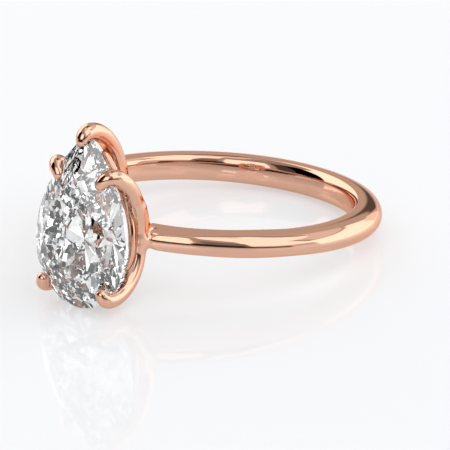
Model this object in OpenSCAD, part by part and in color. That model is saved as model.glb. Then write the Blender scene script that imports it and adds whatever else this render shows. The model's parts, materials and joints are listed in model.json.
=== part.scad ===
// Solitaire engagement ring: a pear brilliant in five claws on a tapering shank.
// The ring is drawn with the finger axis along Z and the head towards -Y, around
// the centre of the finger hole, and is then leaned over as it lies on its side.

/* [Finger] */
// Radius of the finger hole, 16.5 mm across for US size 6
finger_r = 8.25; // [7.4:0.05:9.6]

/* [Shank] */
// Width along the finger at the back of the shank
back_w = 2.0; // [1.6:0.05:2.6]
// Width along the finger beside the head
head_w = 1.2; // [1.1:0.05:1.6]
// Radial thickness at the back
back_t = 1.85; // [1.5:0.05:2.2]
// Radial thickness beside the head
head_t = 2.35; // [2.1:0.05:2.6]
// Angle from the head's centre line to each end of the shank
end_angle = 10; // [9:0.5:11.5]

/* [Stone] */
// Distance from the centre of the finger hole to the middle of the girdle
girdle_y = 12.8; // [12.7:0.05:13]
// Width of the pear
stone_w = 6.84; // [6.7:0.02:7]
// Height of the point above the band's middle plane
stone_top = 6.45; // [6.3:0.05:6.6]
// Depth of the round end below the band's middle plane
stone_low = 4.1; // [3.9:0.05:4.2]
// Height of the pear's widest level
belly_z = -0.3; // [-0.5:0.05:0]
// Thickness of the girdle
girdle_t = 0.22; // [0.15:0.01:0.3]
// Height of the crown
crown_h = 1.05; // [0.9:0.05:1.2]
// Depth of the pavilion
pavilion_h = 3.0; // [2.8:0.05:3.1]
// Table width as a share of the stone's width
table_share = 0.58; // [0.52:0.01:0.64]

/* [Head] */
// Radius of the claws where they are thickest
claw_r = 0.5; // [0.46:0.01:0.54]
// Radius of the gallery rail's wire
gallery_r = 0.26; // [0.24:0.01:0.3]
// Distance of the gallery rail from the centre of the finger hole
gallery_y = 11.15; // [11.1:0.05:11.25]
// Radius of the base rail's wire
base_r = 0.42; // [0.36:0.01:0.46]
// Distance of the base rail from the centre of the finger hole
base_y = 9.55; // [9.4:0.05:9.7]

/* [Hidden] */

GOLD = [0.91, 0.66, 0.55];
GEM = [0.88, 0.92, 0.96];

// Shift towards the head of the ring that forms the shank's shoulders
SHOULDER_SHIFT = 2.4;
// Radius of the gentle arc across the shoulders' outer face
SHOULDER_DOME = 1.2;

ROUND_SIDES = 180;
CLAW_SIDES = 14;
CURVE_STEPS = 36;
RAIL_RINGS = 60;
RAIL_SIDES = 10;

// Distance by which the rails lie inside the stone's outline
GALLERY_INSET = 0.98;
GALLERY_TIP_INSET = 1.45;
BASE_W = 3.7;
BASE_TOP = 2.4;
BASE_LOW = 1.6;

// Curves through the middle of each claw, from the foot to the tip. Each curve bends
// towards its few points and ends on the first and last. The last number is the claw's
// radius, as a share of claw_r.
claw_x = 0.35 * stone_w;
foot_y = finger_r + head_t - 0.25;
TIP_BEND = [[0, 0.05 - base_y, BASE_TOP - 0.2, 1.1],
            [0, -0.05 - base_y, BASE_TOP + 1.1, 0.95],
            [0, -0.35 - base_y, stone_top - 1.25, 0.95],
            [0, 1.6 - girdle_y, stone_top + 0.05, 1],
            [0, -0.3 - girdle_y, stone_top + 0.65, 1.2],
            [0, -0.55 - girdle_y, stone_top - 0.4, 0.6]];
UPPER_BEND = [[claw_x - 0.1, -foot_y, -0.1, 0.84],
              [claw_x, -0.05 - foot_y, 1.3, 0.8],
              [claw_x, -0.15 - foot_y, 2.4, 0.85],
              [claw_x + 0.1, 0.9 - girdle_y, 3.9, 0.95],
              [claw_x, -0.3 - girdle_y, 4.9, 1.25],
              [claw_x - 0.8, -0.55 - girdle_y, 3.75, 0.64]];
LOWER_BEND = [[claw_x - 0.1, 0.05 - foot_y, 0.3, 0.6],
              [claw_x - 0.05, -0.05 - foot_y, -1.1, 0.85],
              [claw_x, -0.15 - foot_y, -2.4, 0.95],
              [claw_x, 1 - girdle_y, 1.1 - stone_low, 0.95],
              [claw_x + 0.1, -0.4 - girdle_y, 0.5 - stone_low, 1.25],
              [claw_x - 0.15, -0.7 - girdle_y, 1.35 - stone_low, 0.64]];

// The ring lies on the stone's round end and on the rounding of the shank's back
HEAD_REACH = girdle_y - girdle_t / 2;
BACK_CENTRE = finger_r + back_t - back_w / 2;
LIE = [HEAD_REACH + BACK_CENTRE, stone_low];
rest_tilt = atan(LIE[1] / LIE[0]) - asin(back_w / 2 / norm(LIE));

function unit(v) = v / norm(v);

// Pear outline in the plane of the girdle. The turn runs from -180 at the point,
// through 0 at the round end, to 180 at the point again.
function pear(turn, half_w, low, top) =
    abs(turn) <= 90
    ? [half_w * sin(turn), belly_z - (low + belly_z) * cos(turn)]
    : let (q = (abs(turn) - 90) / 90)
      [sign(turn) * half_w * pow(1 - pow(q, 2.05), 1.05), belly_z + q * (top - belly_z)];

// Point at a share of the way along the curve that bends towards a few points
function bend(points, share) =
    len(points) == 1
    ? points[0]
    : bend([for (i = [0 : len(points) - 2]) points[i] + share * (points[i + 1] - points[i])],
           share);
function curve(points) = [for (k = [0 : CURVE_STEPS]) bend(points, k / CURVE_STEPS)];

// Circle of the given radius round a point, square to the tangent
function wire_ring(centre, tangent, side, r, sides) =
    let (a = unit(cross(tangent, side)), b = unit(cross(a, tangent)))
    [for (k = [0 : sides - 1])
        let (turn = 360 * k / sides) centre + r * (cos(turn) * a + sin(turn) * b)];

// Closed skin over a stack of rings, or round a closed loop of rings
module skin(rings, loop = false) {
    n = len(rings);
    m = len(rings[0]);
    last = loop ? n - 1 : n - 2;
    sides = [for (i = [0 : last]) for (k = [0 : m - 1])
        let (a = i * m + k, b = i * m + (k + 1) % m,
             c = ((i + 1) % n) * m + (k + 1) % m, d = ((i + 1) % n) * m + k)
        each [[a, b, c], [a, c, d]]];
    caps = loop ? [] : [[for (k = [m - 1 : -1 : 0]) k], [for (k = [0 : m - 1]) (n - 1) * m + k]];
    polyhedron(points = [for (ring = rings) each ring], faces = concat(sides, caps), convexity = 8);
}

// Leans the ring over, from its own frame to the way it lies on its side
module laid_down() {
    rotate([-rest_tilt, 0, 0]) children();
}

// Full ring with flat sides and an outer face that is an arc of the given radius
module domed_ring(outer_r, dome_r) {
    rotate_extrude($fn = ROUND_SIDES) intersection() {
        translate([outer_r / 2, -back_w / 2]) square([outer_r, back_w]);
        union() {
            translate([outer_r - dome_r, 0]) circle(r = dome_r, $fn = 72);
            translate([outer_r / 2, -back_w / 2]) square([outer_r / 2 - dome_r, back_w]);
        }
    }
}

// Wedge that narrows the shank's flat sides evenly from the back to the head
module taper() {
    head_y = finger_r + head_t;
    rotate([90, 0, 90]) linear_extrude(4 * finger_r, center = true)
        polygon([[-head_y - 1, -head_w / 2], [-head_y, -head_w / 2], [BACK_CENTRE, -back_w / 2],
                 [BACK_CENTRE + 2, -back_w / 2], [BACK_CENTRE + 2, back_w / 2],
                 [BACK_CENTRE, back_w / 2], [-head_y, head_w / 2], [-head_y - 1, head_w / 2]]);
}

// Wedge of air between the two ends of the shank
module head_gap() {
    reach = 2 * finger_r;
    linear_extrude(2 * back_w, center = true)
        polygon([[0, 0], [-reach * tan(end_angle), -reach], [reach * tan(end_angle), -reach]]);
}

// Shank with its finger hole left solid
module shank_body() {
    difference() {
        intersection() {
            union() {
                domed_ring(finger_r + back_t, back_w / 2);
                translate([0, -SHOULDER_SHIFT, 0])
                    domed_ring(finger_r + head_t - SHOULDER_SHIFT, SHOULDER_DOME);
            }
            taper();
        }
        head_gap();
    }
}

module shank() {
    color(GOLD) laid_down() difference() {
        shank_body();
        cylinder(r = finger_r, h = 3 * back_w, center = true, $fn = ROUND_SIDES);
    }
}

// Place of a row of a curve, without its radius
function place(row) = [row[0], row[1], row[2]];

// Wire swept along a claw's curve. The side vector is square to the claw's bend.
module claw_wire(points) {
    path = curve(points);
    last = len(path) - 1;
    // The end closes in a dome: rings that shrink as a half circle does
    dome = [for (k = [1 : 4]) sin(22.5 * k)];
    tip = place(path[last]);
    heading = unit(tip - place(path[last - 1]));
    tip_r = claw_r * path[last][3];
    skin(concat(
        [for (i = [0 : last])
            wire_ring(place(path[i]), place(path[min(i + 1, last)] - path[max(i - 1, 0)]),
                      [1, 0, 0], claw_r * path[i][3], CLAW_SIDES)],
        [for (d = dome)
            wire_ring(tip + heading * tip_r * d, heading, [1, 0, 0],
                      max(0.02, tip_r * sqrt(1 - d * d)), CLAW_SIDES)]));
}

// Claw with the seat for the stone cut in it, fitted to what it is soldered to
module claw(points) {
    difference() {
        claw_wire(points);
        gem_body();
        shank_body();
        rails();
    }
}

module tip_claw() {
    color(GOLD) laid_down() claw(TIP_BEND);
}

module upper_right_claw() {
    color(GOLD) laid_down() claw(UPPER_BEND);
}

module upper_left_claw() {
    color(GOLD) laid_down() mirror([1, 0, 0]) claw(UPPER_BEND);
}

// Lower claw, also fitted against the foot of the upper claw beside it
module lower_claw() {
    difference() {
        claw(LOWER_BEND);
        claw_wire(UPPER_BEND);
    }
}

module lower_right_claw() {
    color(GOLD) laid_down() lower_claw();
}

module lower_left_claw() {
    color(GOLD) laid_down() mirror([1, 0, 0]) lower_claw();
}

// Loop of wire along a pear outline at a distance from the finger's centre
module pear_loop(half_w, low, top, y, r) {
    turns = [for (i = [0 : RAIL_RINGS - 1]) -180 + 360 * i / RAIL_RINGS];
    path = [for (turn = turns)
        let (p = pear(turn, half_w, low, top)) [p[0], -y, p[1]]];
    n = len(path);
    skin([for (i = [0 : n - 1])
        wire_ring(path[i], path[(i + 1) % n] - path[(i + n - 1) % n], [0, 1, 0], r, RAIL_SIDES)],
        loop = true);
}

module gallery_body() {
    pear_loop(stone_w / 2 - GALLERY_INSET, stone_low - GALLERY_INSET,
              stone_top - GALLERY_TIP_INSET, gallery_y, gallery_r);
}

module base_body() {
    pear_loop(BASE_W / 2, BASE_LOW, BASE_TOP, base_y, base_r);
}

module rails() {
    gallery_body();
    base_body();
}

module gallery_rail() {
    color(GOLD) laid_down() gallery_body();
}

module base_rail() {
    color(GOLD) laid_down() difference() {
        base_body();
        shank_body();
    }
}

// Level slice of the stone, its outline shrunk towards the culet's foot
module gem_slice(share, y, turns, thick = 0.01) {
    translate([0, -y, 0]) rotate([90, 0, 0]) linear_extrude(thick)
        polygon([for (turn = turns) share * pear(turn, stone_w / 2, stone_low, stone_top)]);
}

module gem_body() {
    eighths = [for (i = [0 : 7]) -180 + 45 * i];
    sixteenths = [for (i = [0 : 15]) -180 + 22.5 * i];
    fine = [for (i = [0 : 47]) -180 + 7.5 * i];
    hull() {
        gem_slice(1, girdle_y - girdle_t / 2, fine, girdle_t);
        gem_slice(0.83, girdle_y + girdle_t / 2 + 0.5 * crown_h, sixteenths);
        gem_slice(table_share, girdle_y + girdle_t / 2 + crown_h - 0.01, eighths);
        gem_slice(0.42, girdle_y - girdle_t / 2 - 0.62 * pavilion_h, sixteenths);
        gem_slice(0.01, girdle_y - girdle_t / 2 - pavilion_h, eighths);
    }
}

module diamond() {
    color(GEM) laid_down() gem_body();
}

shank();
base_rail();
gallery_rail();
tip_claw();
upper_right_claw();
upper_left_claw();
lower_right_claw();
lower_left_claw();
diamond();
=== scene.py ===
"""Rose gold engagement ring with a pear brilliant, lying on its side on a glossy white table.

Shapes are worked out in millimetres in the ring's own frame (finger axis along Z, head
towards -Y) and laid over into the row frame by lay().
"""

import math

import bmesh
import bpy
import json
import numpy as np
from mathutils import Matrix, Vector


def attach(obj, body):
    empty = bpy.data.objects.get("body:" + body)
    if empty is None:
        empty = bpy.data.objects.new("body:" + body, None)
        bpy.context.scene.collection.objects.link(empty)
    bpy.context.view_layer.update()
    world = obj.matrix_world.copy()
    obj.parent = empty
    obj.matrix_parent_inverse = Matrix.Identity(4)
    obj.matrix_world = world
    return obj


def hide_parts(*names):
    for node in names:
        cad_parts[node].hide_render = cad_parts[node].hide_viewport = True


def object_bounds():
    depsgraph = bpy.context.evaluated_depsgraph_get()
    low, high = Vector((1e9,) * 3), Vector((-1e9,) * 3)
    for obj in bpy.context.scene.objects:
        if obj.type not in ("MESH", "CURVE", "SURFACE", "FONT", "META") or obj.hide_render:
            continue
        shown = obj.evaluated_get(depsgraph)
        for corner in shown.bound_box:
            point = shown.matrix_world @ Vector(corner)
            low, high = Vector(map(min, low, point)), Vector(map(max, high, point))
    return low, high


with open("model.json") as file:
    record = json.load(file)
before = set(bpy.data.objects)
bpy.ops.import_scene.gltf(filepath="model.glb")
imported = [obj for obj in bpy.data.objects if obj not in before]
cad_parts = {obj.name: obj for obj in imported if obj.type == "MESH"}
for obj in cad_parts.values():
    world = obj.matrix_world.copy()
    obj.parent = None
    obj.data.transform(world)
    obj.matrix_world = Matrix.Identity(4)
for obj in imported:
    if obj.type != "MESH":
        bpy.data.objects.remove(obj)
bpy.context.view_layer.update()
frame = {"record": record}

BORE = frame["record"]["mounts"][0]
FINGER_R = BORE["dims"]["r_mm"]
TILT = math.atan2(BORE["axis"][1], BORE["axis"][2])
MM = 0.001
CRISP_ANGLE = math.radians(38)

# Camera, in the row frame
VIEW_AZIMUTH = 38.77
VIEW_ELEVATION = 21.76
VIEW_ROLL = 1.39
VIEW_DISTANCE = 0.2398
VIEW_TARGET = (0.00066, -0.00011, -0.00125)
FOCAL_LENGTH = 314.3
LIGHT_BOUNCES = 15

# Shank
BACK_T = 1.85
HEAD_T = 2.35
END_ANGLE = 10.0
SHOULDER_SHIFT = 2.4
COMFORT_R = 3.6
# Half width before it grows towards the back and shrinks towards the head
HALF_W = 0.66
BACK_GROWTH = 0.335
HEAD_SHRINK = 0.09
# Degrees from the shank's end over which the shrinking and the flat sides fade away
SHRINK_FADE = 47
FLAT_FADE = 60

# Stone
GIRDLE_Y = 12.8
GIRDLE_T = 0.22
STONE_W = 6.84
STONE_TOP = 6.45
STONE_LOW = 4.1
BELLY_Z = -0.3
CROWN_H = 1.05
PAVILION_H = 3.0
TABLE_SHARE = 0.58
# How far the pavilion's lower halves reach towards the culet
LOWER_HALVES = 0.6

# Head: wires' radii, distances from the finger hole's centre, and insets from the stone
GALLERY_R = 0.22
GALLERY_Y = 11.15
GALLERY_INSET = 0.98
GALLERY_TIP_INSET = 1.45
BASE_R = 0.42
BASE_Y = 9.55
BASE_HALF_W = 1.85
BASE_TOP = 2.4
BASE_LOW = 1.6


def lay(p):
    """A point of the ring's frame, in mm, as a point of the row frame, in metres."""
    x, y, z = p
    c, s = math.cos(TILT), math.sin(TILT)
    return (x * MM, (y * c + z * s) * MM, (-y * s + z * c) * MM)


def mix(a, b, t):
    return a + (b - a) * t


def unit(v):
    return v / np.linalg.norm(v)


# ---------------------------------------------------------------- mesh helpers

def finish_mesh(bm, mesh, smooth_shade=True):
    """Shades the faces and marks the edges that stay crisp."""
    for f in bm.faces:
        f.smooth = smooth_shade
    for e in bm.edges:
        e.smooth = not (e.is_manifold and e.calc_face_angle() > CRISP_ANGLE)
    bm.to_mesh(mesh)
    bm.free()


def new_piece(name, verts, faces, smooth_shade=True):
    mesh = bpy.data.meshes.new(name)
    mesh.from_pydata([lay(v) for v in verts], [], faces)
    mesh.validate()
    bm = bmesh.new()
    bm.from_mesh(mesh)
    bmesh.ops.recalc_face_normals(bm, faces=bm.faces)
    finish_mesh(bm, mesh, smooth_shade)
    obj = bpy.data.objects.new(name, mesh)
    bpy.context.scene.collection.objects.link(obj)
    return obj


def skin(rings, loop=False):
    """Vertices and quads over a stack of rings; open stacks are closed by end caps."""
    n, m = len(rings), len(rings[0])
    verts = [tuple(p) for ring in rings for p in ring]
    faces = []
    for i in range(n if loop else n - 1):
        for k in range(m):
            a, b = i * m + k, i * m + (k + 1) % m
            c, d = ((i + 1) % n) * m + (k + 1) % m, ((i + 1) % n) * m + k
            faces.append((a, b, c, d))
    if not loop:
        for base, flip in ((0, True), ((n - 1) * m, False)):
            centre = np.mean([verts[base + k] for k in range(m)], axis=0)
            verts.append(tuple(centre))
            hub = len(verts) - 1
            for k in range(m):
                a, b = base + k, base + (k + 1) % m
                faces.append((hub, b, a) if flip else (hub, a, b))
    return verts, faces


def bend(points, steps=100):
    """Rows along the curve that bends towards a few rows of numbers and ends on the outer two."""
    share = np.linspace(0, 1, steps + 1)[:, None]
    rows = [np.array([p], float) for p in points]
    while len(rows) > 1:
        rows = [one + (two - one) * share for one, two in zip(rows[:-1], rows[1:])]
    return rows[0]


def wire_rings(path, deep, wide, side=(1.0, 0.0, 0.0), sides=56, flat=None):
    """Oval rings square to a path: wide along the side vector, deep across it.

    flat gives, ring by ring, how much of the depth towards the stone is left by a flat cut;
    its sign says on which side of the bend the stone lies."""
    rings = []
    for i, centre in enumerate(path):
        tangent = unit(path[min(i + 1, len(path) - 1)] - path[max(i - 1, 0)])
        a = unit(np.cross(tangent, side))
        b = unit(np.cross(a, tangent))
        turn = np.linspace(0, 2 * math.pi, sides, endpoint=False)
        depth = np.cos(turn)
        if flat is not None:
            side_sign, left = math.copysign(1, flat[i]), abs(flat[i])
            depth = side_sign * np.minimum(side_sign * depth, left)
        rings.append(centre + deep[i] * np.outer(depth, a) + wide[i] * np.outer(np.sin(turn), b))
    return rings


# ---------------------------------------------------------------- claw curves

# Points that each claw's curve bends towards, from the foot to the tip: x, y, z, half depth
# in the bend's plane, half width across it
CLAW_X = 0.35 * STONE_W
FOOT_Y = FINGER_R + HEAD_T - 0.25
TIP_BEND = [
    (0, 0.05 - BASE_Y, BASE_TOP - 0.2, 0.55, 0.58),
    (0, -0.05 - BASE_Y, BASE_TOP + 1.1, 0.52, 0.52),
    (0, -0.35 - BASE_Y, STONE_TOP - 1.25, 0.53, 0.51),
    (0, 1.6 - GIRDLE_Y, STONE_TOP + 0.05, 0.56, 0.54),
    (0, -0.3 - GIRDLE_Y, STONE_TOP + 0.65, 0.62, 0.62),
    (0, -0.55 - GIRDLE_Y, STONE_TOP - 0.4, 0.32, 0.38),
]
UPPER_BEND = [
    (CLAW_X - 0.1, -FOOT_Y, -0.1, 0.47, 0.46),
    (CLAW_X, -0.05 - FOOT_Y, 1.3, 0.46, 0.45),
    (CLAW_X, -0.15 - FOOT_Y, 2.4, 0.48, 0.48),
    (CLAW_X + 0.1, 0.9 - GIRDLE_Y, 3.9, 0.56, 0.54),
    (CLAW_X, -0.3 - GIRDLE_Y, 4.9, 0.66, 0.62),
    (CLAW_X - 0.8, -0.55 - GIRDLE_Y, 3.75, 0.34, 0.37),
]
LOWER_BEND = [
    (CLAW_X - 0.1, -FOOT_Y, 0.1, 0.47, 0.46),
    (CLAW_X - 0.05, -0.05 - FOOT_Y, -1.0, 0.48, 0.48),
    (CLAW_X, -0.15 - FOOT_Y, -2.4, 0.52, 0.53),
    (CLAW_X, 1.0 - GIRDLE_Y, 1.1 - STONE_LOW, 0.56, 0.54),
    (CLAW_X + 0.1, -0.4 - GIRDLE_Y, 0.5 - STONE_LOW, 0.64, 0.62),
    (CLAW_X - 0.15, -0.7 - GIRDLE_Y, 1.35 - STONE_LOW, 0.34, 0.37),
]
# Share of a claw's depth that its flat inner face takes away
CLAW_FLAT = 0.2
# Air left between a claw's seat and the stone
SEAT_GAP = 0.012

# The joint: the first of each claw curve's 100 steps belong to the shank's flowing end
UPPER_STEPS, LOWER_STEPS = 42, 35
# Rounding between shank and feet, and how far the shank's outer face runs out into them
FILLET = 0.30
FLOW = 0.55
# Angle where the joint hands over to the swept shank, and the box and grid it is meshed in
JOINT_ANGLE = 32
JOINT_LOW, JOINT_HIGH = (0.9, -12.0, -2.8), (5.6, -7.2, 3.1)
JOINT_STEP = 0.06
# The upper claw's foot also runs down the shank's end: x, y, z, radius
WEB = bend([(CLAW_X - 0.35, 1.15 - FOOT_Y, 0.3, 0.32), (CLAW_X - 0.2, 0.55 - FOOT_Y, 1.1, 0.31),
            (CLAW_X, -0.35 - FOOT_Y, 2.0, 0.28)], 6)
UPPER_FOOT = bend(UPPER_BEND)[:UPPER_STEPS + 1, :4]
LOWER_FOOT = bend(LOWER_BEND)[:LOWER_STEPS + 1, :4]


# ---------------------------------------------------------------- shank

def smooth_max(a, b, k):
    """Larger of two distances, with a rounding of size k where they meet."""
    overlap = np.maximum(k - np.abs(a - b), 0.0)
    return np.maximum(a, b) + overlap * overlap / (4 * k)


def ease(t):
    t = np.clip(t, 0.0, 1.0)
    return t * t * (3 - 2 * t)


def shank_outer(angle):
    """Outer radius of the shank: the ring itself or the shoulders, whichever is larger."""
    shoulder_r = FINGER_R + HEAD_T - SHOULDER_SHIFT
    across = (SHOULDER_SHIFT * np.sin(angle)) ** 2
    shoulder = SHOULDER_SHIFT * np.cos(angle) + np.sqrt(np.maximum(shoulder_r ** 2 - across, 1.0))
    return smooth_max(shoulder, FINGER_R + BACK_T + 0 * angle, 0.3)


def shank_faces(r, z, angle):
    """Distances past the shank's flat sides, its domed outer face and its comfort-fit bore,
    at a radius, height and angle from the head, with the roundings of the outer and inner edges."""
    off = np.abs(angle)
    back = (1 - np.cos(off)) / 2
    near_head = 1 - ease((np.degrees(off) - END_ANGLE) / SHRINK_FADE)
    half = HALF_W + BACK_GROWTH * back - HEAD_SHRINK * near_head
    slope = 0.10 * near_head / HEAD_T
    flat = 1 - ease((np.degrees(off) - END_ANGLE) / FLAT_FADE)
    rise, reach = mix(1.02 * half, 1.2, flat), mix(1.1, 1.2, flat)
    top = np.abs(z) - (half - slope * (r - FINGER_R))
    inner = FINGER_R + z * z / (2 * COMFORT_R) - r
    past = r - (shank_outer(off) - reach)
    reach = np.where(past > 0, reach, mix(1.3, 6.0, flat))
    out = (np.hypot(past / reach, z / rise) - 1) * rise
    return top, out, inner, mix(0.06, 0.30, ease((np.degrees(off) - 60) / 90)), 0.14 + 0.20 * back


def shank_field(r, z, angle):
    """Distance-like value, negative inside the shank."""
    top, out, inner, edge, bore_edge = shank_faces(r, z, angle)
    return smooth_max(smooth_max(top, out, edge), inner, bore_edge)


def shank_section(angle, points=112):
    """Outline of the shank's section, by search along rays from the section's middle."""
    mid = (FINGER_R + shank_outer(angle)) / 2
    turn = np.linspace(0, 2 * math.pi, 720, endpoint=False)
    c, s = np.cos(turn), np.sin(turn)
    near, far = np.zeros_like(turn), np.full_like(turn, 3.0)
    for _ in range(40):
        middle = (near + far) / 2
        inside = shank_field(mid + middle * c, middle * s, angle + 0 * turn) < 0
        near, far = np.where(inside, middle, near), np.where(inside, far, middle)
    p = np.stack([mid + near * c, near * s], axis=1)
    # More points where the outline bends
    edge = np.roll(p, -1, axis=0) - p
    length = np.hypot(edge[:, 0], edge[:, 1])
    heading = np.unwrap(np.arctan2(edge[:, 1], edge[:, 0]))
    corner = np.abs(np.diff(heading, append=heading[0] + 2 * math.pi))
    weight = length + 0.35 * (corner + np.roll(corner, 1)) / 2 + 1e-4
    total = np.concatenate([[0], np.cumsum(weight)])
    place = np.linspace(0, total[-1], points, endpoint=False)
    where = np.interp(place, total, np.arange(len(total)))
    closed = np.vstack([p, p[:1]])
    low = where.astype(int)
    return closed[low] + (where - low)[:, None] * (closed[low + 1] - closed[low])


def shank_ring(angle):
    off = min(angle, 2 * math.pi - angle)
    section = shank_section(off)
    return [(r * math.sin(angle), -r * math.cos(angle), z) for r, z in section]


def smooth_min(a, b, k):
    return -smooth_max(-a, -b, k)


def tube_field(p, rows):
    """Distance from points to a wire whose rows are x, y, z and radius."""
    best = np.full(len(p), 1e9)
    for start, end in zip(rows[:-1], rows[1:]):
        along = end[:3] - start[:3]
        t = np.clip((p - start[:3]) @ along / (along @ along), 0, 1)
        gap = np.linalg.norm(p - start[:3] - t[:, None] * along, axis=1)
        best = np.minimum(best, gap - (start[3] + t * (end[3] - start[3])))
    return best


def joint_field(p):
    """The shank's end, flowing into the feet of the upper and lower claws."""
    x, y, z = p.T
    r, angle = np.hypot(x, y), np.arctan2(x, -y)
    end = math.radians(END_ANGLE)
    cut = -(x * math.cos(end) + y * math.sin(end))
    arms = np.minimum(tube_field(p, UPPER_FOOT), tube_field(p, LOWER_FOOT))
    arms = smooth_min(arms, tube_field(p, WEB), 0.6)
    top, out, inner, edge, bore_edge = shank_faces(r, z, angle)
    # The outer face runs out into the claws, the flat sides meet them in a tight corner
    edge = mix(0.5, edge, ease(arms / 0.7))
    body = smooth_max(smooth_max(top, smooth_min(out, arms, FLOW), edge), inner, bore_edge)
    body = smooth_max(body, cut, 0.2)
    return smooth_max(smooth_min(body, arms, FILLET), FINGER_R - r, 0.15)


def surface_net(field, low, high, step):
    """Quads over the zero level of a field, with vertices moved onto it."""
    axes = [np.arange(a, b + step, step) for a, b in zip(low, high)]
    grid = np.stack(np.meshgrid(*axes, indexing="ij"), axis=-1)
    shape = grid.shape[:3]
    f = field(grid.reshape(-1, 3)).reshape(shape)
    total = np.zeros(shape + (3,))
    count = np.zeros(shape)
    crossings = []
    for axis in range(3):
        first = [slice(None)] * 3
        second = [slice(None)] * 3
        first[axis], second[axis] = slice(0, -1), slice(1, None)
        f0, f1 = f[tuple(first)], f[tuple(second)]
        i = np.argwhere((f0 < 0) != (f1 < 0))
        others = [k for k in range(3) if k != axis]
        i = i[(i[:, others[0]] > 0) & (i[:, others[1]] > 0)
              & (i[:, others[0]] < shape[others[0]] - 1) & (i[:, others[1]] < shape[others[1]] - 1)]
        a, b = f0[tuple(i.T)], f1[tuple(i.T)]
        at = grid[tuple(i.T)].copy()
        at[:, axis] += step * a / (a - b)
        for da in (0, 1):
            for db in (0, 1):
                cell = i.copy()
                cell[:, others[0]] -= da
                cell[:, others[1]] -= db
                np.add.at(total, tuple(cell.T), at)
                np.add.at(count, tuple(cell.T), 1)
        crossings.append((i, others, a < 0, axis))
    used = count > 0
    number = np.full(shape, -1)
    number[used] = np.arange(used.sum())
    verts = total[used] / count[used][:, None]
    faces = []
    for i, others, inside_first, axis in crossings:
        corner = []
        for da, db in ((0, 0), (1, 0), (1, 1), (0, 1)):
            cell = i.copy()
            cell[:, others[0]] -= da
            cell[:, others[1]] -= db
            corner.append(number[tuple(cell.T)])
        quads = np.stack(corner, axis=1)
        flip = inside_first ^ (axis == 1)
        quads[flip] = quads[flip][:, ::-1]
        faces.append(quads)
    for _ in range(4):
        value = field(verts)
        slope = np.stack([(field(verts + d) - field(verts - d)) / 2e-3
                          for d in np.eye(3) * 1e-3], axis=1)
        length = np.maximum((slope ** 2).sum(axis=1), 0.05)
        verts = verts - (value / length)[:, None] * slope
    return verts, np.concatenate(faces)


def trimmed(bm, point, outward):
    """Cuts away what lies beyond a plane and leaves the cut open."""
    geom = bm.verts[:] + bm.edges[:] + bm.faces[:]
    bmesh.ops.bisect_plane(bm, geom=geom, dist=1e-6, plane_co=Vector(point),
                           plane_no=Vector(outward), clear_outer=True)


def open_loops(bm):
    """The boundary edges of a mesh, one list for each loop."""
    rest = {e for e in bm.edges if e.is_boundary}
    loops = []
    while rest:
        loop, front = [], [rest.pop()]
        while front:
            edge = front.pop()
            loop.append(edge)
            for v in edge.verts:
                for other in v.link_edges:
                    if other in rest:
                        rest.discard(other)
                        front.append(other)
        loops.append(loop)
    return loops


def make_shank():
    """The swept shank, joined at each end to the flowing foot of its two claws."""
    start = math.radians(JOINT_ANGLE)
    gap = math.radians(0.5)
    steps = 220
    bm = bmesh.new()
    rings = [shank_ring(mix(start + gap, 2 * math.pi - start - gap, i / steps))
             for i in range(steps + 1)]
    rows = [[bm.verts.new(p) for p in ring] for ring in rings]
    for one, two in zip(rows[:-1], rows[1:]):
        for k in range(len(one)):
            j = (k + 1) % len(one)
            bm.faces.new((one[k], one[j], two[j], two[k]))
    verts, quads = surface_net(joint_field, JOINT_LOW, JOINT_HIGH, JOINT_STEP)
    for hand in (1, -1):
        part = bmesh.new()
        vs = [part.verts.new((hand * v[0], v[1], v[2])) for v in verts]
        for q in quads:
            if len(set(q)) == 4:
                part.faces.new([vs[k] for k in q])
        trimmed(part, (0, 0, 0), (hand * math.cos(start), math.sin(start), 0))
        for foot in (UPPER_FOOT, LOWER_FOOT):
            heading = foot[-1][:3] - foot[-2][:3]
            trimmed(part, (hand * foot[-1][0], *foot[-1][1:3]), (hand * heading[0], *heading[1:]))
        part.normal_update()
        mesh = bpy.data.meshes.new("joint")
        part.to_mesh(mesh)
        part.free()
        bm.from_mesh(mesh)
        bpy.data.meshes.remove(mesh)
    bm.verts.ensure_lookup_table()

    def middle(loop):
        return sum((e.verts[0].co + e.verts[1].co for e in loop), Vector()) / (2 * len(loop))

    loops = open_loops(bm)
    for hand in (1, -1):
        near = Vector((hand * 9.4 * math.sin(start), -9.4 * math.cos(start), 0))
        pair = [loop for loop in loops if (middle(loop) - near).length < 0.6]
        bmesh.ops.bridge_loops(bm, edges=[e for loop in pair for e in loop])
    for loop in open_loops(bm):
        bmesh.ops.contextual_create(bm, geom=loop)
    bmesh.ops.recalc_face_normals(bm, faces=bm.faces)
    for v in bm.verts:
        v.co = lay(v.co)
    mesh = bpy.data.meshes.new("shank_metal")
    finish_mesh(bm, mesh)
    obj = bpy.data.objects.new("shank_metal", mesh)
    bpy.context.scene.collection.objects.link(obj)
    return obj


# ---------------------------------------------------------------- stone outline

def pear(turn, half_w=STONE_W / 2, low=STONE_LOW, top=STONE_TOP):
    """Outline of the pear in the plane of the girdle; turn in degrees, 180 at the point."""
    if abs(turn) <= 90:
        t = math.radians(turn)
        return np.array([half_w * math.sin(t), BELLY_Z - (low + BELLY_Z) * math.cos(t)])
    q = (abs(turn) - 90) / 90
    x = half_w * (1 - q ** 2.05) ** 1.05
    return np.array([math.copysign(x, turn), BELLY_Z + q * (top - BELLY_Z)])


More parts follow.
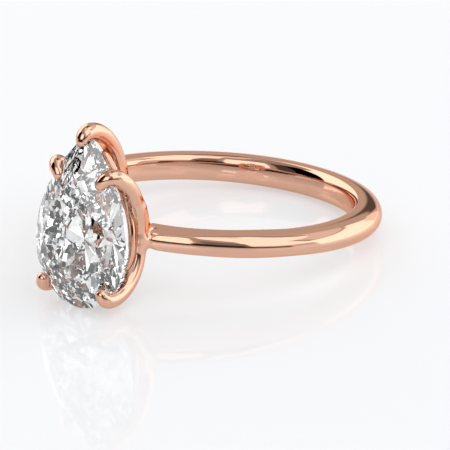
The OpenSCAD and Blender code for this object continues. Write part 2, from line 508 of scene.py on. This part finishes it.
def make_diamond():
    half_girdle = GIRDLE_T / 2
    bottom, top = -half_girdle - PAVILION_H, half_girdle + CROWN_H
    turns = np.linspace(-180, 180, 120, endpoint=False)
    outline = [pear(t) for t in turns]
    n = len(outline)
    bm = bmesh.new()
    low = [bm.verts.new((p[0], p[1], bottom)) for p in outline]
    high = [bm.verts.new((p[0], p[1], top)) for p in outline]
    for i in range(n):
        j = (i + 1) % n
        bm.faces.new((low[i], low[j], high[j], high[i]))
    bm.faces.new(low[::-1])
    bm.faces.new(high)
    bmesh.ops.recalc_face_normals(bm, faces=bm.faces)

    def cut(point, normal):
        geom = bm.verts[:] + bm.edges[:] + bm.faces[:]
        res = bmesh.ops.bisect_plane(bm, geom=geom, dist=1e-5, plane_co=Vector(point),
                                     plane_no=Vector(normal), clear_outer=True)
        edges = [e for e in res["geom_cut"] if isinstance(e, bmesh.types.BMEdge)]
        if len(edges) >= 3:
            bmesh.ops.contextual_create(bm, geom=edges)

    def tangent_plane(turn, height, through):
        """Plane that touches the outline at a turn and passes through a point."""
        step = 0.5
        p = pear(turn)
        if abs(abs(turn) - 180) < 1e-6:
            along = np.array([1.0, 0.0])
        else:
            along = unit(pear(turn + step) - pear(turn - step))
        start = np.array([p[0], p[1], height])
        normal = np.cross(np.array([along[0], along[1], 0.0]), np.asarray(through) - start)
        normal = unit(normal)
        if np.dot(normal[:2], p - np.array([0.0, 0.5])) < 0:
            normal = -normal
        return start, normal

    def height_on(plane, xy):
        start, normal = plane
        return start[2] - (normal[0] * (xy[0] - start[0]) + normal[1] * (xy[1] - start[1])) / normal[2]

    mains = [-180 + 45 * k for k in range(8)]
    centre = np.array([0.0, 0.35])

    # Crown: bezels, stars and upper halves
    table = [centre + TABLE_SHARE * (pear(t) - centre) for t in mains]
    bezels = [tangent_plane(t, half_girdle, (*table[k], top)) for k, t in enumerate(mains)]
    for plane in bezels:
        cut(*plane)
    for k, t in enumerate(mains):
        j = (k + 1) % 8
        middle = (table[k] + table[j]) / 2
        tip_xy = mix(middle, pear(t + 22.5), 0.5)
        tip = np.array([*tip_xy, min(height_on(bezels[k], tip_xy), height_on(bezels[j], tip_xy))])
        a, b = np.array([*table[k], top]), np.array([*table[j], top])
        normal = unit(np.cross(b - a, tip - a))
        if normal[2] < 0:
            normal = -normal
        cut(a, normal)
        for side in (11.25, 33.75):
            cut(*tangent_plane(t + side, half_girdle, tip))

    # Pavilion: mains down to the culet and lower halves
    culet = np.array([0.0, 0.0, bottom])
    lowers = [tangent_plane(t, -half_girdle, culet) for t in mains]
    for plane in lowers:
        cut(*plane)
    for k, t in enumerate(mains):
        j = (k + 1) % 8
        tip_xy = mix(pear(t + 22.5), culet[:2], LOWER_HALVES)
        tip = np.array([*tip_xy, max(height_on(lowers[k], tip_xy), height_on(lowers[j], tip_xy))])
        for side in (11.25, 33.75):
            cut(*tangent_plane(t + side, -half_girdle, tip))

    bmesh.ops.recalc_face_normals(bm, faces=bm.faces)
    bm.verts.ensure_lookup_table()
    verts = [(v.co.x, -GIRDLE_Y - v.co.z, v.co.y) for v in bm.verts]
    index = {v: i for i, v in enumerate(bm.verts)}
    faces = [tuple(index[v] for v in f.verts) for f in bm.faces]
    bm.free()
    return new_piece("pear_diamond", verts, faces, smooth_shade=False)


# ---------------------------------------------------------------- rails

def make_rail(name, half_w, low, top, y, r):
    turns = np.linspace(-180, 180, 240, endpoint=False)
    path = np.array([[p[0], -y, p[1]] for p in (pear(t, half_w, low, top) for t in turns)])
    n = len(path)
    rings = []
    for i in range(n):
        tangent = unit(path[(i + 1) % n] - path[i - 1])
        a = np.array([0.0, 1.0, 0.0])
        b = unit(np.cross(tangent, a))
        turn = np.linspace(0, 2 * math.pi, 24, endpoint=False)
        rings.append(path[i] + r * (np.outer(np.cos(turn), a) + np.outer(np.sin(turn), b)))
    verts, faces = skin(rings, loop=True)
    return new_piece(name, verts, faces)


# ---------------------------------------------------------------- claws

def seated(obj, stone):
    """Presses the part of a claw that would lie inside the stone out to the stone's surface."""
    planes = stone.data.polygons
    normals = np.array([p.normal[:] for p in planes])
    offsets = np.array([p.normal.dot(stone.data.vertices[p.vertices[0]].co) for p in planes])
    for v in obj.data.vertices:
        for _ in range(3):
            depth = offsets + SEAT_GAP * MM - normals @ np.array(v.co)
            nearest = int(np.argmin(depth))
            if depth[nearest] <= 0:
                break
            v.co += Vector(normals[nearest] * (depth[nearest] + 1e-7))
    return obj


def make_claw(name, points, stone_side, first=0, mirrored=False):
    """A claw from one of its curve's steps to the rounded tip, cut flat towards the stone."""
    rows = bend(points)[first:]
    path, deep, wide = rows[:, :3], rows[:, 3], rows[:, 4]
    heading = unit(path[-1] - path[-2])
    reach = (deep[-1] + wide[-1]) / 2
    tips = [math.sin(math.pi / 2 * k / 9) for k in range(1, 9)]
    path = np.vstack([path] + [path[-1] + heading * reach * s for s in tips])
    fall = np.array([math.sqrt(1 - s * s) for s in tips])
    deep = np.concatenate([deep, deep[-1] * fall])
    wide = np.concatenate([wide, wide[-1] * fall])
    share = np.arange(len(path)) / len(rows)
    left = 1 - CLAW_FLAT * ease((share - 0.05) / 0.25) * (1 - ease((share - 0.55) / 0.25))
    verts, faces = skin(wire_rings(path, deep, wide, flat=stone_side * left))
    if mirrored:
        verts = [(-x, y, z) for x, y, z in verts]
    return new_piece(name, verts, faces)


# ---------------------------------------------------------------- materials

def rose_gold():
    mat = bpy.data.materials.new("rose_gold_polish")
    mat.use_nodes = True
    nt = mat.node_tree
    bsdf = nt.nodes["Principled BSDF"]
    bsdf.inputs["Metallic"].default_value = 1.0
    bsdf.inputs["Specular Tint"].default_value = (0.93, 0.74, 0.64, 1)
    coord = nt.nodes.new("ShaderNodeTexCoord")

    def noise(scale, detail):
        node = nt.nodes.new("ShaderNodeTexNoise")
        node.inputs["Scale"].default_value = scale
        node.inputs["Detail"].default_value = detail
        nt.links.new(coord.outputs["Object"], node.inputs["Vector"])
        return node

    tone = nt.nodes.new("ShaderNodeValToRGB")
    tone.color_ramp.elements[0].color = (0.725, 0.425, 0.305, 1)
    tone.color_ramp.elements[1].color = (0.76, 0.45, 0.325, 1)
    nt.links.new(noise(260, 2).outputs["Fac"], tone.inputs["Fac"])
    nt.links.new(tone.outputs["Color"], bsdf.inputs["Base Color"])

    rough = nt.nodes.new("ShaderNodeMapRange")
    rough.inputs["To Min"].default_value = 0.035
    rough.inputs["To Max"].default_value = 0.085
    nt.links.new(noise(700, 3).outputs["Fac"], rough.inputs["Value"])
    nt.links.new(rough.outputs["Result"], bsdf.inputs["Roughness"])

    bump = nt.nodes.new("ShaderNodeBump")
    bump.inputs["Strength"].default_value = 0.03
    bump.inputs["Distance"].default_value = 0.00002
    nt.links.new(noise(420, 2).outputs["Fac"], bump.inputs["Height"])
    nt.links.new(bump.outputs["Normal"], bsdf.inputs["Normal"])
    return mat


def diamond_glass(name, mirrored_inside):
    """Diamond. The pavilion's facets send back all light that reaches them from inside."""
    mat = bpy.data.materials.new(name)
    mat.use_nodes = True
    nt = mat.node_tree
    bsdf = nt.nodes["Principled BSDF"]
    bsdf.inputs["Transmission Weight"].default_value = 1.0
    bsdf.inputs["IOR"].default_value = 2.42
    bsdf.inputs["Roughness"].default_value = 0.0
    coord = nt.nodes.new("ShaderNodeTexCoord")
    node = nt.nodes.new("ShaderNodeTexNoise")
    node.inputs["Scale"].default_value = 500
    nt.links.new(coord.outputs["Object"], node.inputs["Vector"])
    tone = nt.nodes.new("ShaderNodeValToRGB")
    tone.color_ramp.elements[0].color = (0.985, 0.995, 1.0, 1)
    tone.color_ramp.elements[1].color = (1.0, 1.0, 1.0, 1)
    nt.links.new(node.outputs["Fac"], tone.inputs["Fac"])
    nt.links.new(tone.outputs["Color"], bsdf.inputs["Base Color"])
    if mirrored_inside:
        mirror = nt.nodes.new("ShaderNodeBsdfGlossy")
        mirror.inputs["Roughness"].default_value = 0.0
        mirror.inputs["Color"].default_value = (1.0, 1.0, 1.0, 1)
        geometry = nt.nodes.new("ShaderNodeNewGeometry")
        mixer = nt.nodes.new("ShaderNodeMixShader")
        nt.links.new(geometry.outputs["Backfacing"], mixer.inputs["Fac"])
        nt.links.new(bsdf.outputs[0], mixer.inputs[1])
        nt.links.new(mirror.outputs[0], mixer.inputs[2])
        nt.links.new(mixer.outputs[0], nt.nodes["Material Output"].inputs["Surface"])
    return mat


def table_top():
    """Glossy white table that glows a little. The glow is painted light: it keeps the table bright,
    fades the ring's shadow on it, and also lights the ring from below.
    """
    mat = bpy.data.materials.new("white_table")
    mat.use_nodes = True
    nt = mat.node_tree
    bsdf = nt.nodes["Principled BSDF"]
    bsdf.inputs["Base Color"].default_value = (0.45, 0.46, 0.475, 1)
    bsdf.inputs["IOR"].default_value = 1.25
    # Painted light: this glow lightens the ring's shadow on the table
    bsdf.inputs["Emission Color"].default_value = (1.0, 0.995, 1.0, 1)
    bsdf.inputs["Emission Strength"].default_value = 0.47
    coord = nt.nodes.new("ShaderNodeTexCoord")
    haze = nt.nodes.new("ShaderNodeTexNoise")
    haze.inputs["Scale"].default_value = 60
    nt.links.new(coord.outputs["Object"], haze.inputs["Vector"])
    rough = nt.nodes.new("ShaderNodeMapRange")
    rough.inputs["To Min"].default_value = 0.02
    rough.inputs["To Max"].default_value = 0.05
    nt.links.new(haze.outputs["Fac"], rough.inputs["Value"])
    nt.links.new(rough.outputs["Result"], bsdf.inputs["Roughness"])
    return mat


GOLD = rose_gold()
GEM = diamond_glass("diamond_crown", False)
GEM_PAVILION = diamond_glass("diamond_pavilion", True)


def mount_piece(obj, node, material):
    obj.data.materials.append(material)
    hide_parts(node)
    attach(obj, "root")


stone = make_diamond()
mount_piece(stone, "diamond", GEM)
stone.data.materials.append(GEM_PAVILION)
seat = -(GIRDLE_Y - GIRDLE_T / 2 - 0.02) * MM
for polygon in stone.data.polygons:
    centre = sum((stone.data.vertices[v].co for v in polygon.vertices), Vector()) / len(polygon.vertices)
    depth = centre.y * math.cos(TILT) - centre.z * math.sin(TILT)
    polygon.material_index = int(depth > seat)

mount_piece(make_shank(), "shank", GOLD)
gallery = make_rail("gallery_wire", STONE_W / 2 - GALLERY_INSET, STONE_LOW - GALLERY_INSET,
                    STONE_TOP - GALLERY_TIP_INSET, GALLERY_Y, GALLERY_R)
mount_piece(gallery, "gallery_rail", GOLD)
base = make_rail("base_wire", BASE_HALF_W, BASE_LOW, BASE_TOP, BASE_Y, BASE_R)
mount_piece(base, "base_rail", GOLD)
mount_piece(seated(make_claw("tip_claw_wire", TIP_BEND, -1), stone), "tip_claw", GOLD)
for hand, flipped in (("right", False), ("left", True)):
    upper = make_claw(f"upper_{hand}_claw_wire", UPPER_BEND, -1, UPPER_STEPS, flipped)
    mount_piece(seated(upper, stone), f"upper_{hand}_claw", GOLD)
    lower = make_claw(f"lower_{hand}_claw_wire", LOWER_BEND, 1, LOWER_STEPS, flipped)
    mount_piece(seated(lower, stone), f"lower_{hand}_claw", GOLD)

# ---------------------------------------------------------------- table

floor_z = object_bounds()[0].z
mesh = bpy.data.meshes.new("table")
size = 3.0
mesh.from_pydata([(-size, -size, floor_z), (size, -size, floor_z),
                  (size, size, floor_z), (-size, size, floor_z)], [], [(0, 1, 2, 3)])
table = bpy.data.objects.new("table", mesh)
table.data.materials.append(table_top())
bpy.context.scene.collection.objects.link(table)

# ---------------------------------------------------------------- studio

# Softboxes and dark flags of the light tent, later ones over earlier ones. Azimuths are
# from the camera's side, positive to its right: centre and half width, then elevation
# centre and half height, all in degrees, and the brightness.
BASE_LIGHT = 0.5
PANELS = [
    (0, 180, 90, 18, 1.05),
    (-85, 45, 65, 15, 0.42),
    (67, 62, 61, 12, 1.70),
    (51, 27, 34, 18, 1.70),
    (-24, 21, 26, 20, 1.80),
    (111, 38, 12, 19, 1.95),
    (120, 32, 41, 8, 1.00),
    (170, 25, 26, 28, 0.66),
    (168, 18, 67, 10, 0.05),
    (-138, 36, 28, 21, 2.00),
    (-86, 17, 28, 26, 0.00),
    (-61, 9, 26, 26, 0.08),
    (14, 12, 23, 13, 0.25),
    (8, 13, 11, 6, 0.04),
    (52, 22, 10, 9, 0.75),
    (-5, 58, 3, 6, 0.03),
    (-148, 28, 2, 4, 0.12),
    (146, 7, 8, 9, 1.30),
    (166, 8, 9, 5, 0.12),
]
SOFT_EDGE = 3.0

world = bpy.data.worlds.new("studio")
bpy.context.scene.world = world
world.use_nodes = True
nt = world.node_tree


def math_node(operation, a, b):
    n = nt.nodes.new("ShaderNodeMath")
    n.operation = operation
    for socket, value in zip(n.inputs, (a, b)):
        if isinstance(value, (int, float)):
            socket.default_value = value
        else:
            nt.links.new(value, socket)
    return n.outputs[0]


def window(value, outside, inside):
    """1 where value passes inside, 0 where it is short of outside, smooth between."""
    n = nt.nodes.new("ShaderNodeMapRange")
    n.interpolation_type = "SMOOTHSTEP"
    n.inputs["From Min"].default_value = outside
    n.inputs["From Max"].default_value = inside
    nt.links.new(value, n.inputs["Value"])
    return n.outputs["Result"]


coord = nt.nodes.new("ShaderNodeTexCoord").outputs["Generated"]
split = nt.nodes.new("ShaderNodeSeparateXYZ")
nt.links.new(coord, split.inputs[0])
elevation = math_node("MULTIPLY", math_node("ARCSINE", split.outputs["Z"], 0), 180 / math.pi)
flat = nt.nodes.new("ShaderNodeVectorMath")
flat.operation = "MULTIPLY"
flat.inputs[1].default_value = (1, 1, 0)
nt.links.new(coord, flat.inputs[0])
level_dir = nt.nodes.new("ShaderNodeVectorMath")
level_dir.operation = "NORMALIZE"
nt.links.new(flat.outputs[0], level_dir.inputs[0])

light = BASE_LIGHT
for turn, half_turn, height, half_height, level in PANELS:
    rise = math_node("ABSOLUTE", math_node("SUBTRACT", elevation, height), 0)
    share = window(rise, half_height + SOFT_EDGE / 2, half_height - SOFT_EDGE / 2)
    if half_turn < 180:
        a = math.radians(VIEW_AZIMUTH - 90 + turn)
        facing = nt.nodes.new("ShaderNodeVectorMath")
        facing.operation = "DOT_PRODUCT"
        facing.inputs[1].default_value = (math.cos(a), math.sin(a), 0)
        nt.links.new(level_dir.outputs[0], facing.inputs[0])
        inside = math.cos(math.radians(half_turn - SOFT_EDGE / 2))
        outside = math.cos(math.radians(half_turn + SOFT_EDGE / 2))
        share = math_node("MULTIPLY", share, window(facing.outputs["Value"], outside, inside))
    change = math_node("MULTIPLY", share, math_node("SUBTRACT", level, light))
    light = math_node("ADD", light, change)
nt.links.new(light, nt.nodes["Background"].inputs["Color"])

# ---------------------------------------------------------------- camera

a, e = math.radians(VIEW_AZIMUTH), math.radians(VIEW_ELEVATION)
back = Vector((math.sin(a) * math.cos(e), -math.cos(a) * math.cos(e), math.sin(e)))
camera = bpy.data.objects.new("camera", bpy.data.cameras.new("camera"))
bpy.context.scene.collection.objects.link(camera)
look = back.to_track_quat("Z", "Y").to_matrix().to_4x4()
camera.matrix_world = (Matrix.Translation(Vector(VIEW_TARGET) + back * VIEW_DISTANCE) @ look
                       @ Matrix.Rotation(math.radians(-VIEW_ROLL), 4, "Z"))
camera.data.lens = FOCAL_LENGTH
camera.data.sensor_width = 36
bpy.context.scene.camera = camera

scene = bpy.context.scene
scene.view_settings.view_transform = "Standard"
# Longer light paths inside the stone end dark, which sets how bright it looks
scene.cycles.max_bounces = LIGHT_BOUNCES
scene.cycles.glossy_bounces = LIGHT_BOUNCES
scene.cycles.transmission_bounces = LIGHT_BOUNCES
